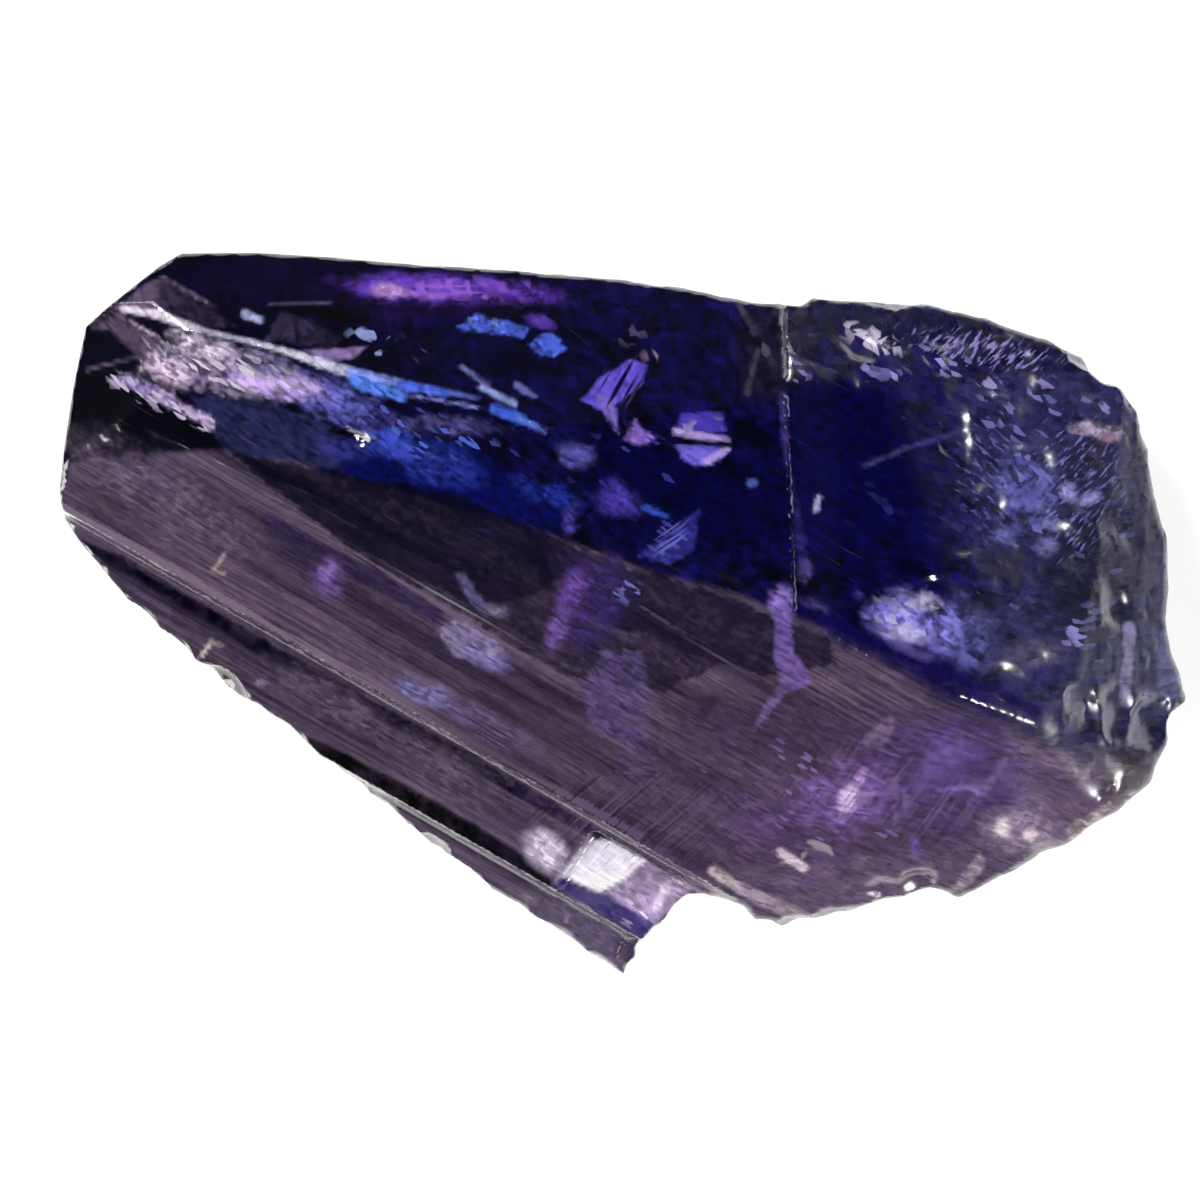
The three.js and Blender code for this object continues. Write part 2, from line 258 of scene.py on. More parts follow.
# %% Short names for the sums that a tree needs
class Maths:
    def __init__(self, tree):
        self.tree = tree

    def sum(self, operation, *values):
        inputs = dict(enumerate(values))
        return add_node(self.tree, "ShaderNodeMath", inputs, operation=operation).outputs[0]

    def add(self, *values):
        return reduce(lambda total, value: self.sum("ADD", total, value), values)

    def times(self, *values):
        return reduce(lambda product, value: self.sum("MULTIPLY", product, value), values)

    def vector(self, operation, *values):
        inputs = dict(enumerate(values))
        node = add_node(self.tree, "ShaderNodeVectorMath", inputs, operation=operation)
        return node.outputs["Value" if operation == "DOT_PRODUCT" else "Vector"]

    def scaled(self, vector, factor):
        node = add_node(self.tree, "ShaderNodeVectorMath", {0: vector, "Scale": factor}, operation="SCALE")
        return node.outputs["Vector"]

    def ramp(self, value, low, high, to_low=0.0, to_high=1.0):
        """0 below low, 1 above high and a smooth rise between, or between the two values given."""
        inputs = {"Value": value, "From Min": low, "From Max": high, "To Min": to_low, "To Max": to_high}
        node = add_node(self.tree, "ShaderNodeMapRange", inputs, interpolation_type="SMOOTHSTEP")
        return node.outputs["Result"]

    def parts(self, vector):
        return add_node(self.tree, "ShaderNodeSeparateXYZ", {0: vector}).outputs

    def turned(self, vector, degrees):
        inputs = {"Vector": vector, "Angle": math.radians(degrees)}
        return add_node(self.tree, "ShaderNodeVectorRotate", inputs, rotation_type="Z_AXIS").outputs[0]

    def noise(self, place, size, detail, roughness, seed, stretch=(1, 1, 1)):
        """Soft noise with lumps of about that size in millimetres, drawn out where the stretch is small."""
        vector = self.vector("MULTIPLY", place, stretch)
        inputs = {"Vector": vector, "W": seed, "Scale": 1 / size, "Detail": detail, "Roughness": roughness}
        return add_node(self.tree, "ShaderNodeTexNoise", inputs, noise_dimensions="4D").outputs


# %% Where the stone grew and where it broke
HALF = (0.5, 0.5, 0.5)  # the middle value of a noise


def falls_beyond(maths, place, at, heading, low, high):
    """A mask that rises from low to high millimetres beyond an upright wall, on the side it heads for."""
    way = Vector((math.cos(math.radians(heading)), math.sin(math.radians(heading)), 0))
    run = maths.vector("DOT_PRODUCT", maths.vector("SUBTRACT", place, (*at, 0)), way)
    return maths.ramp(run, low, high)


def broken_mask(maths, place, normal):
    """Where the stone broke, from 0 to 1: its blunt end, the slopes below and the ragged side walls."""
    end = falls_beyond(maths, place, (8.2, 1.5), 18, -0.5, 0.9)
    shoulder = falls_beyond(maths, place, (8.0, 5.6), 80, -0.3, 0.6)
    shoulder = maths.times(shoulder, falls_beyond(maths, place, (4.2, 5.0), 2, -0.2, 0.3))
    lower = falls_beyond(maths, place, (10.4, -5.0), -60, -0.3, 0.5)
    short = falls_beyond(maths, place, (4.0, -6.6), -84, -0.3, 0.4)
    upright = maths.ramp(maths.sum("ABSOLUTE", maths.parts(normal)["Z"]), 0.45, 0.25)
    wall = maths.times(upright, falls_beyond(maths, place, (-13.4, 2.0), -40, 0.0, 1.0))
    mask = end
    for other in (shoulder, lower, short, wall):
        mask = maths.sum("MAXIMUM", mask, other)
    above_base = maths.ramp(maths.parts(place)["Z"], 0.05, 0.4)
    return maths.times(mask, above_base)


def grown_mask(maths, normal, broken):
    """Where growth lines show, from 0 to 1: the long slopes beside the grain."""
    along_grain = maths.turned(normal, -GRAIN)
    beside = maths.ramp(maths.vector("DOT_PRODUCT", along_grain, (0, -1, 0)), 0.05, 0.25)
    along = maths.sum("ABSOLUTE", maths.vector("DOT_PRODUCT", along_grain, (1, 0, 0)))
    return maths.times(beside, maths.ramp(along, 0.3, 0.1), maths.sum("SUBTRACT", 1.0, broken))


def tilted_facets(maths, place, size, seed):
    """Heights of flat facets of about that size in millimetres, each tilted its own way."""
    moved = maths.vector("ADD", place, (seed, seed, seed))
    inputs = {"Vector": moved, "Scale": maths.sum("DIVIDE", 1.0, size)}
    cells = add_node(maths.tree, "ShaderNodeTexVoronoi", inputs)
    from_centre = maths.vector("SUBTRACT", moved, cells.outputs["Position"])
    tilt = maths.vector("SUBTRACT", cells.outputs["Color"], HALF)
    return maths.vector("DOT_PRODUCT", from_centre, tilt)


# %% The tree that makes the relief and writes the fields
RELIEF = {"Line Depth": 0.06, "Line Width": 0.75, "Break Depth": 0.09, "Facet Size": 0.6, "Sway": 0.03,
          "Seed": 4.0}  # depths, widths and sizes in millimetres
GROWTH_STRETCH, BAND_STRETCH = (0.035, 1, 0.4), (0.04, 1, 0.4)  # noise drawn out along the grain
FINER = 0.4  # the small facets' size to that of the large ones
WORN_TOP = 0.32  # how much of the hackle stays on level faces
COARSE_SEED, FINE_SEED = 3.0, 8.0


def surface_tree():
    tree = bpy.data.node_groups.new("grown and broken surface", "GeometryNodeTree")
    new_socket = tree.interface.new_socket
    new_socket("Geometry", in_out="INPUT", socket_type="NodeSocketGeometry")
    for name in RELIEF:
        new_socket(name, in_out="INPUT", socket_type="NodeSocketFloat")
    new_socket("Finish", in_out="INPUT", socket_type="NodeSocketMaterial")
    new_socket("Geometry", in_out="OUTPUT", socket_type="NodeSocketGeometry")
    given = add_node(tree, "NodeGroupInput").outputs
    maths = Maths(tree)
    place = maths.scaled(add_node(tree, "GeometryNodeInputPosition").outputs[0], 1 / MM)
    normal = add_node(tree, "GeometryNodeInputNormal").outputs[0]
    grain_place = maths.turned(place, -GRAIN)
    seed = given["Seed"]
    broken = broken_mask(maths, place, normal)

    across = maths.vector("DIVIDE", grain_place, given["Line Width"])
    lines = maths.noise(across, 1.0, 3.0, 0.65, seed, GROWTH_STRETCH)[0]
    grown = grown_mask(maths, normal, broken)
    lines = maths.times(maths.sum("SUBTRACT", lines, 0.5), grown, given["Line Depth"])
    coarse = tilted_facets(maths, place, given["Facet Size"], COARSE_SEED)
    fine = tilted_facets(maths, place, maths.times(given["Facet Size"], FINER), FINE_SEED)
    worn_top = maths.ramp(maths.parts(normal)["Z"], 0.4, 0.8, 1.0, WORN_TOP)
    hackle = maths.times(maths.add(coarse, fine), broken, worn_top, given["Break Depth"])
    sway = maths.noise(place, 3.3, 1.0, 0.5, seed)[0]
    sway = maths.times(maths.sum("SUBTRACT", sway, 0.5), given["Sway"])
    above_base = maths.ramp(maths.parts(place)["Z"], 0.03, 0.3)
    height = maths.times(maths.add(lines, hackle, sway), above_base)
    push = maths.scaled(maths.scaled(normal, height), MM)
    pushed = {"Geometry": given["Geometry"], "Offset": push}
    geometry = add_node(tree, "GeometryNodeSetPosition", pushed).outputs[0]

    wander = maths.noise(place, 0.9, 4.0, 0.65, seed)["Color"]
    wander = maths.vector("SUBTRACT", wander, HALF)
    shiver = maths.noise(place, 0.22, 2.0, 0.6, seed)["Color"]
    shiver = maths.vector("SUBTRACT", shiver, HALF)
    patches = maths.noise(place, 0.6, 6.0, 0.7, seed)[0]
    specks = maths.noise(place, 0.2, 3.0, 0.7, seed)[0]
    bands = maths.noise(grain_place, 0.8, 5.0, 0.65, seed, BAND_STRETCH)[0]
    fields = {"wander": wander, "shiver": shiver, "patches": patches, "specks": specks, "bands": bands,
              "broken": broken, "facing up": maths.parts(normal)["Z"]}
    for name, value in fields.items():
        kind = "FLOAT_VECTOR" if name in ("wander", "shiver") else "FLOAT"
        stored = add_node(tree, "GeometryNodeStoreNamedAttribute", {"Geometry": geometry, "Name": name},
                          data_type=kind, domain="POINT")
        tree.links.new(value, next(s for s in stored.inputs if s.name == "Value" and s.enabled))
        geometry = stored.outputs[0]
    real = add_node(tree, "GeometryNodeRealizeInstances", {"Geometry": geometry})
    finished = {"Geometry": real.outputs[0], "Material": given["Finish"]}
    dressed = add_node(tree, "GeometryNodeSetMaterial", finished)
    add_node(tree, "NodeGroupOutput", {"Geometry": dressed.outputs[0]})
    return tree


def run_tree(piece, name, tree, values):
    """Runs a Geometry Nodes tree on the piece, with its inputs set by name."""
    modifier = piece.modifiers.new(name, "NODES")
    modifier.node_group = tree
    for item in tree.interface.items_tree:
        if item.in_out == "INPUT" and item.name in values:
            modifier[item.identifier] = values[item.name]
    make_plain(piece)


tanzanite = bpy.data.materials.new("tanzanite")
run_tree(crystal, "surface", surface_tree(), {**RELIEF, "Finish": tanzanite})
print("relief, mm:", RELIEF)

# %% [markdown]
# Colours are painted on the upper faces, which need the fine squares. The side walls and the flat underside
# don't, so their faces are merged again: the hackly facets there keep their shapes in far fewer triangles.

# %% Fewer faces on the walls and the underside
MOST_FACES = 190_000
FACES_DOWN, FACES_UP = -0.6, 0.3  # how far a face looks up, from -1 to 1
MERGED_BELOW = 0.97  # how many of the underside's triangles go


def field(name, size=1):
    """A field on the points, as rows of numbers."""
    values = np.empty(len(crystal.data.vertices) * size, np.float32)
    kind = "vector" if size == 3 else "value"
    crystal.data.attributes[name].data.foreach_get(kind, values)
    return values.reshape(-1, size) if size > 1 else values


def count_triangles():
    return sum(len(face.vertices) - 2 for face in crystal.data.polygons)


def thin_out(where, most):
    """Merges faces around the marked points until the skin has at most that many triangles."""
    work_on("DECIMATE", where, ratio=min(1.0, most / count_triangles()))
    print("triangles left:", count_triangles())


before = count_triangles()
print("triangles at first:", before)
underneath = field("facing up") < FACES_DOWN
thin_out(underneath, before * (1 - MERGED_BELOW * np.count_nonzero(underneath) / len(underneath)))
thin_out(field("facing up") < FACES_UP, MOST_FACES)

# %% [markdown]
# The colour of a tanzanite changes from zone to zone, and clouds, cracks, plates and flakes inside it catch
# the light. Working out hundreds of them for every ray of light would be slow, so they are painted once onto
# the points of the skin, as attributes that the finish reads. The light they catch is painted too, as are
# highlights on ridges and shade along steps. A mark is a soft cloud, a facet with straight edges, or a
# stroke that tapers. Its colour is written as it looks on the lit stone, from 0 to 255, and is turned into
# the tint that gives that look in this light.

# %% The points of the skin, and the fields on them
def rise(values, low, high):
    """0 below low, 1 above high and a smooth rise between."""
    share = np.clip((values - low) / (high - low), 0, 1)
    return share * share * (3 - 2 * share)


place = points()
wander, shiver = field("wander", 3), field("shiver", 3)
patches, specks, bands, broken = field("patches"), field("specks"), field("bands"), field("broken")
print("points on the skin:", len(place), "share broken:", round(float(broken.mean()), 2))


# %% Clouds, facets and strokes
FUZZY_RIM, CRISP_RIM = (1.35, 0.4), (0.05, -0.05)  # the reaches where a mark starts and where it is full
TINY = 1e-9  # keeps a level side from dividing by zero
Mark = namedtuple("Mark", "colour reach rim fuzz paint")


def hundredths(*numbers):
    return [number / 100 for number in numbers]


def turned_back(x, y, degrees):
    """Coordinates along and across a heading."""
    cos, sin = math.cos(math.radians(degrees)), math.sin(math.radians(degrees))
    return x * cos + y * sin, y * cos - x * sin


def cloud(colour, x, y, half_length, half_width, turn, *paint):
    """A fuzzy ellipse. Its reach is 0 at the centre, 1 at the rim and more outside."""
    x, y, half_length, half_width = hundredths(x, y, half_length, half_width)

    def reach(east, north):
        along, across = turned_back(east - x, north - y, turn)
        return np.hypot(along / half_length, across / half_width)
    return Mark(colour, reach, FUZZY_RIM, 0.9, paint)


def to_segment(x, y, start, end):
    """Distance to a straight line from start to end, and the share of the line at its nearest point."""
    run_x, run_y = end[0] - start[0], end[1] - start[1]
    share = ((x - start[0]) * run_x + (y - start[1]) * run_y) / (run_x ** 2 + run_y ** 2)
    share = np.clip(share, 0, 1)
    return np.hypot(x - start[0] - share * run_x, y - start[1] - share * run_y), share


def facet(colour, corners, *paint):
    """A crisp polygon. Its reach is the distance outside its edge, in millimetres, and negative inside."""
    corners = [hundredths(*corner) for corner in corners]

    def reach(east, north):
        nearest, inside = np.inf, np.zeros(east.shape, bool)
        for start, end in zip(corners, corners[1:] + corners[:1]):
            nearest = np.minimum(nearest, to_segment(east, north, start, end)[0])
            beside = (start[1] > north) != (end[1] > north)
            slope = (end[0] - start[0]) / ((end[1] - start[1]) or TINY)
            inside ^= beside & (east < start[0] + (north - start[1]) * slope)
        return np.where(inside, -nearest, nearest)
    return Mark(colour, reach, CRISP_RIM, 0.2, paint)


def stroke(colour, x, y, end_x, end_y, width, end_width, *paint):
    """A crisp line whose half width goes from one value to the other. Its reach is as a facet's."""
    start, end, widths = hundredths(x, y), hundredths(end_x, end_y), hundredths(width, end_width)

    def reach(east, north):
        distance, share = to_segment(east, north, start, end)
        return distance - widths[0] - (widths[1] - widths[0]) * share
    return Mark(colour, reach, CRISP_RIM, 0.1, paint)


# %% The marks, by place seen from above
# Places, sizes and half widths are in hundredths of a millimetre, and turns are in degrees. Each wash ends
# with how it is painted, in hundredths: how well it covers, how far its edge wanders and how patchy it is.
WASHES = [
    # Deep blue
    cloud((22, 21, 68), 631, 387, 267, 307, 0, 80, 100, 30),
    cloud((18, 18, 60), 111, 307, 307, 165, -8, 80, 100, 40),
    # The top edge
    cloud((27, 21, 48), -943, 867, 227, 59, -3, 80, 50, 30),
    cloud((38, 26, 64), -543, 835, 240, 53, -4, 90, 60, 40),
    # Below the ridge
    facet((22, 25, 84), [(-863, 467), (-703, 493), (-409, 445), (-169, 312), (-129, 221), (-809, 376)],
        95, 50, 40),
    facet((46, 49, 80), [(-1135, 579), (-964, 584), (-769, 493), (-743, 381), (-1063, 435), (-1097, 499)],
        100, 50, 40),
    # Blue and lilac clouds
    cloud((42, 54, 128), -489, 392, 123, 59, -12, 85, 90, 80),
    cloud((62, 82, 178), -617, 459, 64, 37, -10, 85, 70, 60),
    cloud((58, 62, 128), -743, 435, 75, 37, -10, 70, 60, 50),
    cloud((88, 82, 132), -476, 499, 147, 27, -3, 70, 60, 80),
    cloud((100, 102, 176), -769, 568, 139, 53, -20, 85, 80, 70),
    cloud((40, 52, 134), -191, 312, 112, 37, -22, 80, 80, 80),
    cloud((92, 80, 176), -140, 253, 19, 43, -4, 80, 50, 50),
    cloud((98, 98, 172), -124, 421, 51, 35, -8, 90, 40, 40),
    cloud((84, 68, 168), -17, 301, 64, 40, -20, 80, 70, 60),
    # Cream clouds on the glassy band, cloudy veils with a painted reflection of the light, and its hackly
    # edge
    facet((142, 128, 152), [(-1263, 701), (-1089, 739), (-863, 648), (-796, 584), (-1023, 579),
        (-1263, 632)], 95, 60, 80),
    cloud((228, 206, 212), -1228, 653, 85, 40, -16, 90, 80, 80),
    cloud((226, 210, 216), -1121, 709, 91, 43, -14, 90, 80, 80),
    cloud((212, 186, 246), -921, 611, 123, 37, -14, 95, 70, 60),
    cloud((118, 112, 146), -956, 664, 91, 32, -18, 80, 50, 60),
    stroke((164, 148, 188), -1348, 624, -1223, 568, 27, 32, 95, 60, 70),
    stroke((186, 166, 194), -1223, 568, -1105, 507, 32, 19, 95, 60, 70),
    # The dark grown end
    facet((92, 79, 92), [(-1417, 765), (-1327, 805), (-1215, 720), (-1276, 675), (-1321, 707)], 100, 30, 40),
    facet((104, 89, 104), [(-1407, 776), (-1329, 835), (-1223, 904), (-1177, 840), (-1236, 805),
        (-1321, 821)], 100, 20, 40),
    facet((60, 52, 70), [(-1223, 901), (-1089, 819), (-1023, 763), (-1140, 763), (-1236, 805)], 95, 30, 50),
    facet((19, 15, 28), [(-1431, 749), (-1364, 757), (-1289, 688), (-1281, 659), (-1356, 621),
        (-1439, 616)], 100, 5, 0),
    facet((8, 6, 24), [(-1441, 645), (-1364, 632), (-1113, 504), (-1055, 443), (-1263, 432), (-1492, 405)],
        100, 8, 0),
    # Above the ridge
    facet((66, 58, 80), [(-908, 805), (-863, 784), (-735, 739), (-783, 704), (-953, 725)], 90, 50, 60),
    # a painted shadow: a black stroke beside the grey facet
    stroke((11, 9, 22), -921, 819, -697, 795, 16, 21, 100, 30, 30),
    facet((168, 142, 192), [(-841, 699), (-684, 709), (-703, 683), (-783, 669)], 100, 20, 20),
    # Violet hackle
    cloud((122, 78, 210), -463, 864, 277, 40, -3, 95, 50, 60),
    cloud((100, 66, 172), -220, 779, 40, 21, -20, 90, 30, 60),
    cloud((16, 12, 28), -348, 832, 88, 27, -4, 80, 50, 90),
    # painted glints: two pink ones and a violet stroke
    cloud((228, 176, 244), -628, 864, 43, 21, -5, 100, 30, 40),
    cloud((218, 168, 238), -583, 859, 29, 13, -8, 100, 20, 40),
    stroke((186, 128, 220), -556, 853, -484, 845, 8, 8, 100, 20, 30),
    # Electric blue flakes
    facet((96, 122, 236), [(-441, 757), (-409, 787), (-383, 795), (-255, 763), (-273, 733), (-329, 744),
        (-409, 749)], 100, 35, 70),
    facet((92, 120, 240), [(-255, 717), (-220, 744), (-188, 741), (-151, 704), (-188, 685), (-228, 699)],
        100, 30, 60),
    # Slanted glints
    stroke((140, 150, 205), -431, 659, -361, 611, 5, 7, 90, 15, 20),
    stroke((172, 190, 238), -372, 600, -292, 560, 8, 11, 100, 12, 20),
    stroke((128, 134, 202), -284, 608, -239, 576, 9, 8, 100, 12, 20),
    stroke((72, 104, 206), -335, 544, -271, 517, 16, 13, 100, 15, 30),
    stroke((104, 134, 218), -276, 520, -209, 483, 8, 4, 100, 10, 20),
    stroke((14, 12, 40), -388, 637, -276, 563, 8, 8, 80, 15, 30),
    stroke((12, 10, 30), -255, 568, -164, 525, 13, 8, 80, 20, 30),
    # The long crack
    cloud((40, 36, 46), 393, 701, 96, 139, 0, 85, 50, 60),
    stroke((96, 92, 104), 356, 701, 327, 589, 5, 8, 80, 15, 30),
    stroke((88, 84, 98), 303, 835, 348, 749, 8, 8, 80, 15, 30),
    stroke((84, 70, 142), 420, 579, 433, 408, 11, 8, 80, 20, 60),
    stroke((58, 48, 112), 433, 408, 473, 141, 8, 13, 80, 30, 50),
    # A striped plate
    facet((126, 106, 255), [(-111, 568), (-63, 627), (17, 677), (63, 664), (47, 611), (-9, 563),
        (-57, 541)], 100, 15, 20),
    facet((156, 130, 226), [(-73, 584), (-39, 579), (-23, 541), (-15, 475), (-55, 539)], 100, 10, 20),
    facet((160, 122, 214), [(-1, 461), (28, 520), (47, 493), (87, 469), (44, 448)], 100, 12, 30),
    # Two thin plates
    facet((88, 72, 188), [(153, 531), (257, 539), (271, 488), (204, 483), (140, 493)], 100, 6, 15),
    stroke((214, 184, 244), 137, 485, 209, 472, 9, 10, 100, 5, 10),
    stroke((206, 176, 244), 209, 472, 276, 464, 10, 5, 100, 5, 10),
    facet((136, 124, 255), [(137, 448), (284, 443), (263, 416), (223, 395), (183, 395), (153, 419)],
        100, 6, 15),
    # a painted glint on the lower plate
    stroke((206, 178, 244), 217, 405, 271, 437, 10, 8, 100, 6, 10),
    stroke((13, 11, 28), 151, 459, 289, 451, 5, 9, 100, 5, 0),
    # A fan and flecks
    facet((58, 58, 140), [(39, 155), (84, 187), (201, 280), (185, 176), (119, 131)], 100, 20, 40),
    # a painted blue glint
    stroke((62, 90, 188), 52, 285, 113, 261, 8, 5, 100, 10, 20),
    stroke((204, 198, 242), 516, 312, 508, 277, 6, 7, 100, 5, 10),
    cloud((98, 124, 205), 340, 349, 16, 11, 0, 100, 10, 20),
    stroke((84, 84, 140), 636, 395, 751, 443, 6, 5, 80, 10, 30),
    stroke((66, 66, 120), 751, 443, 884, 483, 5, 5, 80, 10, 30),
    # Black spots
    cloud((12, 12, 20), 569, 139, 19, 19, 0, 90, 30, 40),
    cloud((12, 12, 20), 692, 189, 16, 19, 0, 90, 30, 40),
    cloud((14, 12, 34), 839, 408, 21, 16, 0, 90, 30, 40),
    # The top bevel
    facet((12, 8, 52), [(503, 840), (737, 819), (964, 787), (1233, 677), (1223, 611), (1004, 653),
        (737, 720), (524, 784)], 100, 40, 20),
    # The frosted end
    facet((44, 44, 80), [(884, 613), (1031, 640), (1231, 648), (1329, 587), (1409, 440), (1452, 147),
        (1463, -200), (1431, -320), (1164, -267), (964, -133), (929, 147)], 95, 120, 60),
    # A crack in the bevel
    stroke((24, 22, 28), 916, 795, 967, 744, 11, 8, 100, 15, 20),
    stroke((28, 24, 34), 967, 744, 1039, 731, 5, 4, 100, 15, 20),
    facet((24, 22, 27), [(943, 739), (983, 736), (1001, 701), (1033, 645), (1012, 653), (964, 699)],
        100, 15, 30),
    # Dark frost
    cloud((40, 38, 52), 1233, 408, 85, 64, 0, 90, 40, 30),
    cloud((25, 26, 44), 1249, 120, 155, 203, 0, 95, 80, 35),
    cloud((42, 40, 46), 1009, 131, 59, 48, 0, 80, 40, 50),
    # Pale blotches and chips
    cloud((92, 92, 152), 1063, 333, 85, 96, 0, 85, 50, 80),
    cloud((156, 156, 200), 1177, 328, 21, 24, 0, 90, 20, 50),
    cloud((146, 146, 186), 1228, 307, 37, 16, 18, 90, 20, 50),
    cloud((124, 124, 170), 1132, 240, 27, 19, 0, 90, 30, 50),
    cloud((118, 118, 165), 1121, 184, 29, 24, 0, 90, 30, 50),
    cloud((98, 98, 152), 1012, 211, 43, 21, 0, 80, 40, 60),
    stroke((172, 152, 164), 1196, 496, 1303, 485, 16, 21, 90, 30, 80),
    cloud((150, 118, 124), 1279, 467, 24, 16, 0, 90, 20, 60),
    # The broken rim
    facet((38, 35, 62), [(1319, 533), (1367, 493), (1407, 360), (1436, 168), (1399, 173), (1345, 387)],
        95, 30, 20),
    stroke((142, 140, 168), 1343, -35, 1332, -232, 16, 13, 90, 20, 40),
    facet((86, 88, 126), [(1417, -67), (1452, -13), (1492, -205), (1463, -232), (1423, -205)], 90, 30, 50),
    # Grey frost
    cloud((86, 77, 100), 1084, -99, 91, 35, 4, 85, 50, 60),
    cloud((13, 11, 26), 964, 27, 21, 45, 0, 90, 30, 50),
    cloud((26, 26, 38), 1020, -61, 21, 21, 0, 90, 30, 50),
    cloud((32, 30, 36), 1031, -136, 27, 16, 0, 90, 30, 50),
    # A blue white cloud
    cloud((98, 100, 155), 892, -67, 85, 101, 0, 85, 70, 60),
    cloud((158, 150, 250), 769, -24, 123, 75, -18, 95, 70, 70),
    cloud((222, 214, 255), 796, 35, 40, 24, -8, 100, 30, 50),
    cloud((214, 206, 255), 743, -51, 59, 24, -8, 100, 30, 50),
    stroke((150, 138, 215), 697, -67, 804, -120, 13, 11, 90, 30, 40),
    # The dark middle slope
    facet((19, 16, 32), [(-1044, 435), (-409, 307), (-169, 197), (-180, 67), (-383, 24), (-743, 187)],
        96, 60, 12),
    facet((38, 32, 50), [(-223, 211), (204, 72), (551, -67), (551, -131), (351, -152), (-153, 13)],
        95, 70, 25),
    facet((38, 32, 46), [(-703, 168), (-383, 107), (-63, 45), (284, -125), (97, -200), (-153, -163)],
        85, 90, 40),
    cloud((40, 35, 50), -489, 168, 253, 59, 16, 60, 100, 100),
    # a stroke of painted shade
    stroke((52, 42, 72), -948, 253, -500, 8, 19, 24, 85, 15, 40),
    # The left end
    cloud((110, 96, 108), -1204, 307, 280, 91, -32, 80, 80, 70),
    cloud((68, 59, 64), -1364, 275, 128, 59, -30, 80, 60, 50),
    stroke((28, 22, 32), -1487, 408, -1495, 349, 19, 11, 100, 10, 10),
    # Dark stripe, painted shade along a step of the growth face
    stroke((24, 20, 32), -1439, 187, -1313, 123, 11, 21, 95, 12, 40),
    stroke((20, 16, 28), -1300, 112, -964, -83, 13, 24, 100, 12, 40),
    stroke((20, 17, 30), -964, -83, -276, -467, 21, 21, 100, 12, 40),
    stroke((44, 35, 58), -276, -467, 183, -731, 19, 11, 95, 12, 40),
    # Lower dark stripe, painted shade along a lower step
    stroke((13, 12, 20), -953, -285, -751, -403, 13, 35, 100, 12, 15),
    stroke((12, 11, 20), -751, -403, -409, -579, 35, 29, 100, 12, 15),
    stroke((16, 14, 24), -409, -579, -188, -709, 24, 19, 100, 12, 15),
    # Brown patches
    cloud((104, 90, 102), -783, -227, 197, 53, -30, 85, 60, 60),
    cloud((100, 86, 96), -489, -413, 187, 59, -32, 80, 60, 60),
    # Grey clouds
    facet((142, 130, 158), [(-495, -35), (-431, -5), (-313, -77), (-340, -139), (-449, -112)], 95, 30, 50),
    cloud((134, 122, 142), -337, 8, 35, 21, 0, 90, 30, 50),
    cloud((128, 118, 164), -361, -109, 64, 35, -20, 90, 40, 60),
    cloud((178, 170, 190), -351, -99, 13, 11, 0, 100, 10, 20),
    stroke((98, 92, 126), -431, 104, -377, 24, 13, 13, 90, 20, 50),
    cloud((128, 120, 162), -532, -211, 101, 35, -14, 90, 50, 60),
    cloud((106, 94, 128), -351, -299, 128, 45, -28, 80, 50, 60),
    # Mauve patches
    facet((98, 83, 122), [(-113, -200), (-60, -93), (60, -107), (60, -339), (-63, -328), (-97, -253)],
        75, 90, 60),
    cloud((100, 86, 114), 33, -392, 53, 69, 10, 85, 40, 60),
    # A lilac haze, glows and a flame painted as light, and a patch of painted shade
    cloud((72, 54, 112), -84, 40, 85, 128, -10, 75, 60, 60),
    cloud((112, 82, 152), -135, 61, 37, 59, -18, 90, 50, 60),
    cloud((122, 96, 158), -177, -40, 29, 59, -14, 90, 50, 60),
    cloud((118, 92, 150), -785, 99, 48, 53, -8, 90, 50, 50),
    cloud((158, 128, 192), -785, 123, 24, 32, 0, 90, 30, 40),
    cloud((48, 40, 68), -863, 179, 107, 37, -30, 80, 50, 50),
    # A fleck and the notch
    stroke((200, 176, 160), -1057, 165, -1084, 125, 4, 4, 95, 5, 20),
    stroke((190, 168, 150), -1092, 120, -1060, 109, 4, 5, 90, 5, 20),
    stroke((216, 204, 186), -1124, -109, -1100, -72, 5, 4, 95, 10, 30),
    stroke((176, 160, 146), -1100, -72, -1071, -83, 4, 3, 90, 10, 30),
    stroke((92, 74, 62), -1071, -131, -1060, -184, 11, 11, 85, 20, 40),
    # Lower right
    cloud((62, 54, 66), 332, -296, 261, 101, -6, 85, 60, 40),
    cloud((107, 88, 134), 831, -419, 280, 155, -10, 80, 90, 60),
    cloud((114, 92, 128), 431, -547, 197, 117, -10, 85, 90, 50),
    facet((80, 66, 86), [(-15, -419), (44, -339), (364, -227), (631, -243), (871, -392), (1297, -419),
        (1324, -493), (897, -733), (471, -827), (204, -733), (-4, -600)], 60, 120, 40),
    # Indigo band
    cloud((27, 23, 76), 591, -45, 200, 40, -26, 95, 40, 30),
    cloud((27, 23, 76), 857, -173, 200, 51, -26, 95, 40, 30),
    cloud((28, 24, 70), 1124, -301, 208, 53, -24, 95, 50, 30),
    # A lilac bulb
    cloud((156, 130, 206), 417, 35, 32, 45, 0, 95, 30, 40),
    stroke((124, 98, 162), 420, 8, 425, -120, 24, 24, 95, 20, 40),
    facet((122, 99, 156), [(423, -72), (473, -125), (495, -179), (444, -200), (409, -179)], 95, 20, 30),
    stroke((116, 97, 136), 431, -179, 343, -307, 16, 5, 90, 15, 40),
    cloud((102, 86, 144), 476, 115, 19, 32, -15, 80, 20, 50),
    cloud((84, 72, 128), 503, 29, 40, 16, -25, 80, 20, 50),
    # A magenta glow, a painted flash of light with a pale core
    facet((128, 110, 132), [(641, -349), (684, -360), (721, -272), (697, -264), (633, -325)], 95, 20, 40),
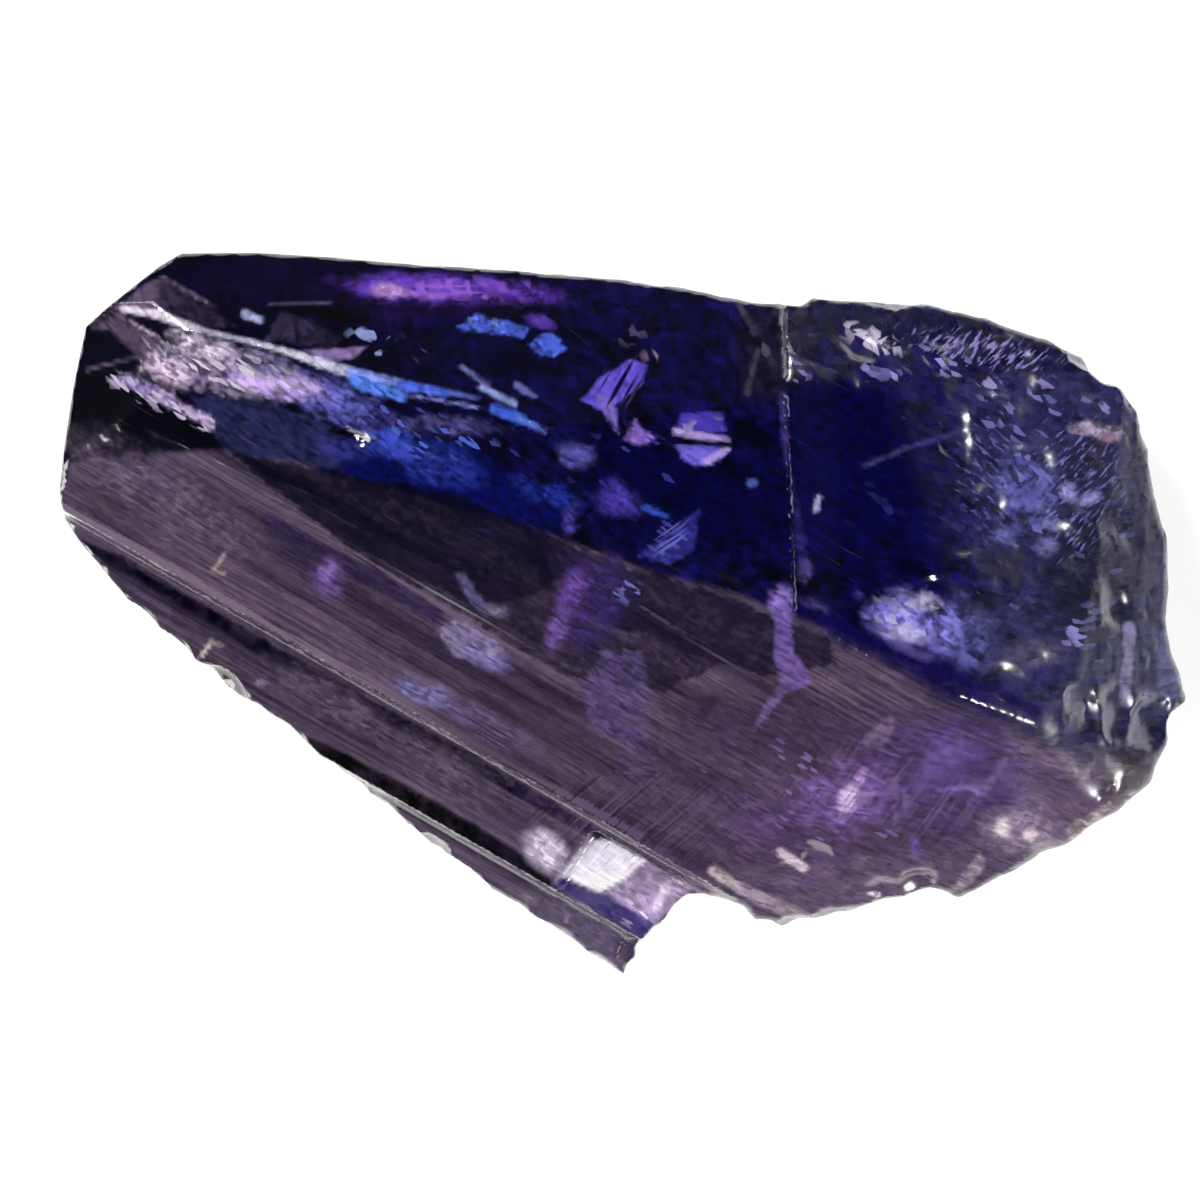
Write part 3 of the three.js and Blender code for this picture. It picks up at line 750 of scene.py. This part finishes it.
    cloud((144, 112, 176), 583, -480, 128, 91, 28, 90, 80, 60),
    cloud((244, 214, 255), 593, -485, 24, 48, -15, 100, 30, 30),
    cloud((198, 160, 204), 623, -424, 16, 29, -30, 90, 40, 50),
    cloud((176, 146, 196), 639, -485, 27, 16, 10, 90, 20, 50),
    # Pale strokes and bits
    stroke((114, 100, 130), 724, -579, 716, -397, 11, 8, 80, 20, 60),
    stroke((124, 110, 142), 751, -525, 743, -467, 11, 8, 80, 20, 50),
    cloud((134, 118, 164), 937, -467, 35, 24, 30, 90, 20, 60),
    stroke((122, 108, 132), 964, -453, 1012, -384, 8, 7, 80, 15, 40),
    cloud((112, 92, 150), 775, -616, 13, 32, 8, 80, 20, 50),
    # Cream lights, painted glints at the lower side and rim, and a brown corner
    cloud((146, 130, 142), 1052, -563, 96, 64, -8, 90, 50, 60),
    cloud((244, 228, 220), 1007, -560, 24, 27, 0, 100, 20, 40),
    cloud((220, 204, 196), 1079, -581, 24, 21, 0, 100, 20, 40),
    facet((152, 140, 140), [(945, -629), (964, -669), (903, -739), (868, -731)], 90, 20, 50),
    stroke((230, 212, 210), 415, -629, 479, -672, 12, 12, 100, 8, 30),
    stroke((196, 180, 172), 239, -680, 305, -725, 13, 13, 95, 10, 50),
    stroke((152, 139, 137), 305, -725, 476, -805, 16, 19, 95, 15, 50),
    cloud((74, 66, 70), 1356, -408, 96, 80, 0, 80, 50, 40),
    stroke((168, 154, 146), 1196, -573, 1356, -480, 19, 21, 85, 30, 70),
    # The cleaved ledge: a painted reflection of the light on its white face, a grey part and a painted glint
    facet((252, 248, 253), [(-89, -595), (-31, -605), (63, -656), (7, -701), (-71, -744), (-129, -723),
        (-172, -696)], 100, 6, 5),
    facet((152, 134, 154), [(63, -656), (188, -728), (97, -805), (71, -845), (-71, -749), (7, -701)],
        95, 10, 40),
    stroke((224, 210, 224), 87, -781, 116, -717, 11, 11, 90, 10, 40),
    # The tip
    stroke((48, 38, 90), -169, -712, -57, -768, 16, 24, 100, 8, 20),
    stroke((46, 38, 88), -57, -768, 76, -851, 24, 29, 100, 8, 20),
    facet((62, 50, 70), [(-191, -728), (-57, -800), (44, -883), (-1, -963), (-249, -797)], 95, 8, 30),
    # a white glow, painted light
    cloud((236, 226, 232), -207, -629, 67, 48, -38, 95, 30, 40),
    stroke((152, 140, 148), -89, -587, -188, -717, 5, 5, 90, 4, 10),
    stroke((48, 42, 50), -188, -717, -247, -800, 5, 5, 90, 4, 10),
    cloud((146, 136, 156), -964, -181, 19, 9, 0, 90, 10, 40),
    # The bright ridge, a painted highlight along its arris that turns blue at its east end
    stroke((250, 240, 244), -1329, 813, -1236, 797, 8, 11, 100, 6, 15),
    stroke((248, 238, 240), -1236, 797, -1124, 757, 12, 8, 100, 6, 20),
    stroke((226, 220, 236), -1124, 757, -943, 712, 6, 6, 100, 5, 20),
    stroke((238, 234, 246), -943, 712, -804, 669, 6, 11, 100, 5, 15),
    stroke((226, 226, 248), -804, 669, -724, 643, 13, 13, 100, 6, 20),
    stroke((150, 168, 246), -724, 643, -591, 613, 13, 11, 100, 6, 20),
    stroke((110, 124, 205), -591, 613, -388, 573, 9, 5, 100, 8, 30),
    # Hairlines
    stroke((170, 150, 172), -1223, 899, -1089, 819, 4, 4, 90, 15, 60),
    stroke((24, 18, 28), -1311, 787, -1236, 749, 8, 6, 90, 10, 10),
    stroke((206, 190, 200), -1308, 776, -1231, 736, 3, 3, 90, 8, 20),
    stroke((120, 106, 124), -1423, 651, -1289, 683, 3, 3, 85, 10, 30),
    # Dark cracks
    stroke((20, 16, 34), -1044, 611, -937, 568, 5, 4, 90, 30, 30),
    stroke((24, 20, 40), -1129, 675, -1055, 643, 5, 4, 90, 40, 30),
    stroke((30, 26, 44), -1196, 701, -1116, 664, 5, 5, 90, 40, 30),
    stroke((30, 28, 52), -1023, 675, -929, 664, 6, 4, 90, 40, 30),
    stroke((14, 12, 24), -868, 525, -831, 501, 4, 4, 90, 20, 20),
    # Lights by the ridge: painted highlights, pale and bright blue, and one dark line
    stroke((206, 214, 246), -724, 491, -652, 461, 3, 3, 95, 5, 10),
    stroke((196, 206, 250), -1001, 797, -964, 781, 11, 8, 95, 20, 30),
    stroke((120, 112, 140), -937, 824, -777, 829, 3, 3, 80, 10, 30),
    stroke((140, 150, 220), -585, 584, -383, 547, 4, 3, 80, 15, 40),
    stroke((96, 142, 255), -711, 619, -591, 581, 16, 16, 100, 20, 40),
    stroke((92, 124, 250), -591, 608, -473, 587, 11, 11, 100, 20, 40),
    stroke((8, 8, 14), -772, 488, -652, 459, 9, 6, 100, 5, 10),
]

# %% Where flakes glitter
# Each mark ends with how much of it the flakes cover, in hundredths.
FLAKES = [
    # In the cream clouds
    cloud((236, 226, 226), -1063, 659, 227, 64, -16, 40),
    stroke((222, 208, 222), -1348, 624, -1105, 507, 21, 21, 50),
    # By the top edge
    cloud((176, 114, 255), -436, 867, 245, 40, -3, 45),
    cloud((120, 80, 195), -223, 781, 43, 24, -20, 40),
    # By the ridge
    cloud((176, 196, 242), -665, 739, 69, 24, -8, 50),
    cloud((180, 205, 245), -644, 693, 16, 11, 0, 95),
    cloud((156, 130, 208), -532, 685, 27, 21, -30, 80),
    cloud((140, 172, 240), -343, 765, 91, 24, -12, 30),
    cloud((92, 118, 208), -516, 467, 253, 91, -16, 14),
    # By the plates and the crack
    cloud((150, 140, 198), 17, 749, 53, 40, -30, 30),
    cloud((170, 140, 160), 73, 685, 29, 16, 0, 50),
    cloud((200, 180, 232), 204, 467, 91, 69, 0, 15),
    cloud((112, 108, 124), 396, 720, 91, 117, 0, 12),
    cloud((160, 146, 220), 463, 648, 53, 43, -20, 30),
    # On the top bevel
    cloud((214, 204, 246), 652, 733, 91, 40, -20, 45),
    cloud((160, 152, 215), 684, 648, 75, 35, -10, 34),
    cloud((168, 164, 214), 831, 675, 112, 40, -14, 32),
    cloud((172, 162, 194), 972, 611, 40, 19, -8, 70),
    cloud((204, 176, 176), 1127, 616, 35, 19, 0, 50),
    cloud((152, 148, 190), 1124, 520, 227, 96, -8, 14),
    # In the frost
    cloud((196, 200, 255), 1068, 341, 75, 85, 0, 50),
    cloud((152, 152, 204), 1151, 248, 96, 80, 0, 20),
    cloud((112, 112, 176), 1177, 253, 280, 427, 0, 6),
    cloud((50, 52, 118), 751, 360, 213, 240, 0, 5),
    cloud((150, 150, 205), 1231, -61, 85, 59, -20, 22),
    # In the middle
    cloud((214, 210, 255), 737, 0, 91, 59, -20, 30),
    cloud((136, 136, 212), 12, 61, 37, 48, -30, 40),
    cloud((112, 112, 198), 119, 200, 59, 53, 40, 30),
    cloud((62, 66, 150), 44, 360, 240, 160, 0, 8),
    # On the lower slopes
    cloud((140, 116, 160), 577, -493, 480, 213, -6, 10),
    cloud((120, 106, 108), -463, -707, 293, 80, -30, 16),
    cloud((210, 196, 214), 44, -773, 80, 64, 0, 20),
]

# %% Where streaks run
# Each mark ends with how much they cover, in hundredths, and with their heading in degrees.
STREAKS = [
    # Along the grain
    # pale lines along the growth steps, painted light, in the next four strokes
    stroke((134, 119, 124), -1503, 299, -743, -141, 13, 13, 80, -30),
    stroke((128, 112, 120), -743, -141, 44, -589, 13, 11, 75, -30),
    stroke((116, 99, 112), -1148, 427, -743, 179, 7, 8, 80, -30),
    stroke((120, 102, 112), -743, 179, -249, -115, 7, 5, 70, -30),
    stroke((88, 76, 96), 44, 24, 356, -173, 7, 5, 60, -30),
    # a line of painted shadow above the dark stripe
    stroke((52, 44, 54), -1321, 168, -743, -163, 7, 7, 70, -30),
    stroke((46, 38, 50), -388, -200, 23, -440, 13, 13, 50, -30),
    cloud((62, 52, 62), -276, -280, 347, 133, -30, 35, -30),
    cloud((70, 60, 68), -996, 200, 320, 107, -30, 30, -30),
    # On the plate and the fan
    cloud((28, 20, 66), -15, 611, 80, 59, 40, 42, 41),
    cloud((120, 120, 200), 124, 205, 85, 37, 40, 45, 40),
    # On the thin edge and the tip
    cloud((54, 47, 52), -436, -707, 293, 43, -30, 55, -30),
    cloud((72, 60, 88), -89, -840, 133, 37, -30, 50, -30),
    # On the top edge and the bevel
    cloud((222, 214, 242), 652, 744, 80, 27, -25, 50, -22),
    cloud((176, 120, 220), -489, 867, 187, 32, -3, 40, -3),
    cloud((92, 82, 150), 817, 760, 240, 43, -8, 14, -8),
    # On the frost
    cloud((120, 120, 172), 1204, 333, 176, 240, 0, 30, 38),
    cloud((100, 102, 156), 964, 387, 96, 240, 0, 28, -38),
    cloud((150, 144, 196), 951, 707, 240, 59, -10, 40, 32),
    # On the lower slopes
    cloud((126, 106, 142), 737, -467, 293, 117, -10, 22, 66),
    cloud((104, 90, 112), 44, -547, 240, 107, 0, 30, 50),
]

# %% From a colour on the lit stone to a tint
SHEEN = 0.007  # what even a black face reflects
BRIGHTNESS = np.array((1.05, 1.05, 0.86))  # how bright a white, level face looks, in red, green and blue
BROKEN_BRIGHTNESS = np.array((0.8, 0.8, 0.66))
DARKEST = 0.0004


def tint_of(colour):
    """The tint that looks like a colour from 0 to 255, on every point."""
    look = np.array(colour) / 255
    light = np.where(look <= 0.04045, look / 12.92, ((look + 0.055) / 1.055) ** 2.4)  # as screens do
    bright = BRIGHTNESS + (BROKEN_BRIGHTNESS - BRIGHTNESS) * broken[:, None]
    return np.clip((light - SHEEN) / bright, DARKEST, 1)


def shown(mark, ragged, patchy):
    """How much of a mark shows on every point, from 0 to 1."""
    loose = place + ragged * (wander * 1.2 + shiver * 0.5)
    reach = mark.reach(loose[:, 0], loose[:, 1])
    reach = reach + patchy * mark.fuzz * (0.5 - patches) * 2
    gaps = 1 - patchy * (1 - rise(patches * 0.5 + specks * 0.5, 0.43, 0.53))
    starts, full = mark.rim
    return rise(-reach, -starts, -full) * gaps


def painted_over(tint, mark, mask):
    return tint + mask[:, None] * (tint_of(mark.colour) - tint)


# %% The ground colours and the washes
EDGE_OF_BLUE = [(-16, 4.1), (-14.5, 4.13), (-12.5, 4.27), (-10.5, 4.4), (-8.3, 4.0), (-5.96, 3.33),
                (-1.69, 2.0), (0.97, 1.07), (2.57, 0.67), (5.5, -0.4), (10.04, -2.27), (12.97, -3.73),
                (16, -5.0)]  # the band is blue north of it, in mm
EDGE_WANDER, EDGE_BLUR = 0.12, 0.12
DARK_BAND, PALE_BAND = (50, 42, 56), (112, 96, 108)
DARK_DEPTH, DIM_PATCH, INDIGO_PATCH = (11, 10, 30), (25, 19, 48), (30, 28, 88)
UNEVENNESS = 1.6

loose = place + EDGE_WANDER * wander
above_edge = loose[:, 1] - np.interp(loose[:, 0], *zip(*EDGE_OF_BLUE))
blue = rise(above_edge, -EDGE_BLUR, EDGE_BLUR)[:, None]
banded = rise(bands, 0.3, 0.7)[:, None]
depth = rise(patches, 0.38, 0.68)[:, None]
lower = tint_of(DARK_BAND) * (1 - banded) + tint_of(PALE_BAND) * banded
right = rise(place[:, 0], -9, 0)[:, None]
patch = tint_of(DIM_PATCH) * (1 - right) + tint_of(INDIGO_PATCH) * right
upper = tint_of(DARK_DEPTH) * (1 - depth) + patch * depth
ground = lower * (1 - blue) + upper * blue
lined, grainy = 1 - 0.75 * blue[:, 0], 0.4 + 0.8 * blue[:, 0]  # the blue has fewer lines and more grain
for mark in WASHES:
    cover, ragged, patchy = hundredths(*mark.paint)
    mask = cover * shown(mark, ragged, patchy)
    ground = painted_over(ground, mark, mask)
    lined = lined * (1 - 0.6 * mask)  # a mark hides some of the lines
    grainy = grainy + mask * (0.2 + 1.3 * patchy - grainy)  # and a patchy one is grainy
uneven = grainy * (specks - 0.5) * UNEVENNESS
ground = np.clip(ground * (1 + uneven[:, None]), DARKEST, 1)
print("washes painted:", len(WASHES))

# %% The flakes and the streaks
def scattered(marks, tint, ragged):
    """The tint of small things, how much they cover, and their heading where a mark gives one."""
    cover, heading = np.zeros(len(place)), np.full(len(place), float(GRAIN))
    for mark in marks:
        share, *way = mark.paint
        mask = shown(mark, ragged, 0.0)
        tint = painted_over(tint, mark, mask)
        cover = np.maximum(cover, mask * (share / 100))
        if way:
            heading[mask > 0.02] = way[0]
    return tint, cover, heading


flake, flake_cover, _ = scattered(FLAKES, upper, 0.4)
streak, streak_cover, heading = scattered(STREAKS, lower, 0.1)
print("flakes and streaks painted:", len(FLAKES), len(STREAKS))

# %% The paint goes onto the skin
LINE_STRETCH, BROKEN_STRETCH = 0.03, 0.25  # lines are drawn out along their heading


def keep_colour(name, tint, alpha):
    rows = np.column_stack((tint, alpha)).astype(np.float32)
    made = crystal.data.attributes.new(name, "FLOAT_COLOR", "POINT")
    made.data.foreach_set("color", rows.ravel())


keep_colour("ground", ground, lined)
keep_colour("flake", flake, flake_cover)
keep_colour("streak", streak, streak_cover)
cos, sin = np.cos(np.radians(heading)), np.sin(np.radians(heading))
stretch = LINE_STRETCH + (BROKEN_STRETCH - LINE_STRETCH) * (broken > 0.5)
along = (place[:, 0] * cos + place[:, 1] * sin) * stretch
across = place[:, 1] * cos - place[:, 0] * sin + place[:, 2] * 0.4
keep_colour("texture", np.column_stack((along, across, grainy)), broken)  # numbers, kept as a colour
for name in ("wander", "shiver", "patches", "specks", "bands", "broken", "facing up"):
    crystal.data.attributes.remove(crystal.data.attributes[name])
print("attributes on the skin:", [a.name for a in crystal.data.attributes])

# %% [markdown]
# The finish is one clear, coloured crystal: light goes in, bends, loses some colour on its way and comes
# out. Transmission, the refractive index and the absorption are plain values. The tint reads the paint from
# the skin and adds what is finer than its squares: angular cells for the flakes and thin lines for the
# streaks.

# %% The crystal's finish
TRANSMISSION, REFRACTIVE_INDEX = 0.7, 1.69
GROWN_ROUGHNESS, BROKEN_ROUGHNESS, SPREAD = 0.12, 0.24, 0.08
BODY_COLOUR, DENSITY = (0.72, 0.6, 0.8, 1), 120.0
CELL, LINE = 0.11, 0.09  # the size of a cell and the width of a line, in mm
SHARD = (0.4, 1.1, 0.7)  # cells are drawn out along the grain, on the sides too
ARRIS = math.radians(18)  # edges that bend more than this stay sharp


def shard_cells(tree, maths):
    """Two random numbers for each of the finest cells."""
    place = maths.scaled(add_node(tree, "ShaderNodeTexCoord").outputs["Object"], 1 / MM)
    shards = maths.parts(maths.vector("MULTIPLY", maths.turned(place, -GRAIN), SHARD))
    flat = add_node(tree, "ShaderNodeCombineXYZ", {0: shards[0], 1: maths.add(shards[1], shards[2])})
    cells = add_node(tree, "ShaderNodeTexVoronoi", {"Vector": flat.outputs[0], "Scale": 1 / CELL},
                     voronoi_dimensions="2D")
    lot, glow, _ = maths.parts(cells.outputs["Color"])
    return lot, glow


def dress_tanzanite(finish):
    finish.use_nodes = True
    tree = finish.node_tree
    maths = Maths(tree)
    ground, flake, streak, texture = (
        add_node(tree, "ShaderNodeAttribute", attribute_name=name).outputs
        for name in ("ground", "flake", "streak", "texture"))
    lot, glow = shard_cells(tree, maths)
    inputs = {"Vector": texture["Color"], "Scale": 1 / LINE, "Detail": 3.0}
    line = add_node(tree, "ShaderNodeTexNoise", inputs, noise_dimensions="2D").outputs[0]
    line = maths.sum("SUBTRACT", line, 0.5)
    flake_mask = maths.ramp(maths.sum("SUBTRACT", flake["Alpha"], lot), -0.02, 0.06)
    flake_mask = maths.times(flake_mask, maths.ramp(glow, 0.0, 1.0, 0.25, 1.0))
    streak_mask = maths.ramp(maths.add(streak["Alpha"], maths.times(line, 1.6)), 0.35, 0.65)
    lined = maths.add(1.0, maths.times(line, 2.0, ground["Alpha"]))
    grain = maths.times(maths.sum("SUBTRACT", lot, 0.5), maths.parts(texture["Color"])["Z"])
    tint = maths.scaled(ground["Color"], maths.times(lined, maths.add(1.0, grain)))
    tint = mixed(tree, streak_mask, tint, streak["Color"])
    tint = mixed(tree, flake_mask, tint, flake["Color"])

    broken = texture["Alpha"]
    rough = maths.ramp(broken, 0.0, 1.0, GROWN_ROUGHNESS, BROKEN_ROUGHNESS)
    rough = maths.add(rough, maths.times(glow, broken, SPREAD))
    shader = tree.nodes["Principled BSDF"]
    shader.inputs["Metallic"].default_value = 0.0
    shader.inputs["Transmission Weight"].default_value = TRANSMISSION
    shader.inputs["IOR"].default_value = REFRACTIVE_INDEX
    tree.links.new(tint, shader.inputs["Base Color"])
    tree.links.new(rough, shader.inputs["Roughness"])
    body = {"Color": BODY_COLOUR, "Density": DENSITY}
    absorption = add_node(tree, "ShaderNodeVolumeAbsorption", body)
    tree.links.new(absorption.outputs[0], tree.nodes["Material Output"].inputs["Volume"])


dress_tanzanite(tanzanite)
crystal.data.polygons.foreach_set("use_smooth", [True] * len(crystal.data.polygons))
crystal.data.set_sharp_from_angle(angle=ARRIS)
print("finish:", tanzanite.name, "with", len(tanzanite.node_tree.nodes), "nodes")

# %% The crystal takes the solid's place
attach(crystal, "root")
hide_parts("tanzanite_crystal")
